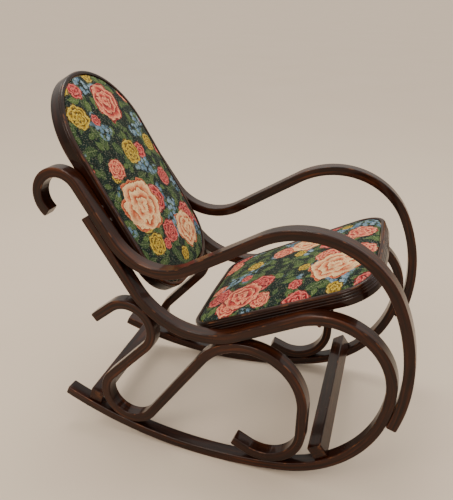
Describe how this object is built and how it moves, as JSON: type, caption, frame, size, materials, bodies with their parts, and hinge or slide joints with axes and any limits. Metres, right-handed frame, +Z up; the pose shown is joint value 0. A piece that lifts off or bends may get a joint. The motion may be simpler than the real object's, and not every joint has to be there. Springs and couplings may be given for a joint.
{
  "type": "rocking chair",
  "caption": "Bentwood rocking chair with laminated side frames on curved runners, scroll supports, and a padded back panel and seat in a floral tapestry.",
  "frame": {"origin": "floor level, midway along and between the side frames", "axes": "+X to the front of the chair, +Y to the sitter's left, +Z up"},
  "size_m": [0.9341, 0.5538, 0.946],
  "materials": {
    "walnut_lacquer": "dark walnut stain under gloss lacquer",
    "tapestry": "floral tapestry weave on dark green",
    "lining_cloth": "plain woven lining",
    "plywood": "raw plywood",
    "foam": "open-cell foam",
    "zinc_steel": "zinc-plated screws and sleeves"
  },
  "bodies": {
    "root": {"right_arm": "walnut_lacquer", "left_arm": "walnut_lacquer", "right_runner_frame": "walnut_lacquer", "left_runner_frame": "walnut_lacquer", "right_scroll": "walnut_lacquer", "left_scroll": "walnut_lacquer", "rear_stretcher": "walnut_lacquer", "front_stretcher": "walnut_lacquer", "seat_bearer": "walnut_lacquer", "seat_frame": "walnut_lacquer", "seat_board": "plywood", "seat_foam": "foam", "seat_cover": "tapestry", "seat_dust_cover": "lining_cloth", "back_frame": "walnut_lacquer", "back_board": "plywood", "back_foam": "foam", "back_cover": "tapestry", "back_lining": "lining_cloth", "seat_spacers": "zinc_steel", "back_spacers": "zinc_steel", "seat_screws": "zinc_steel", "back_screws": "zinc_steel", "bearer_screws": "zinc_steel", "plugs": "walnut_lacquer", "strut_screws": "zinc_steel", "arm_front_screws": "zinc_steel", "curl_screws": "zinc_steel", "loop_screws": "zinc_steel", "foot_screws": "zinc_steel", "stretcher_screws": "zinc_steel"}
  },
  "joints": []
}
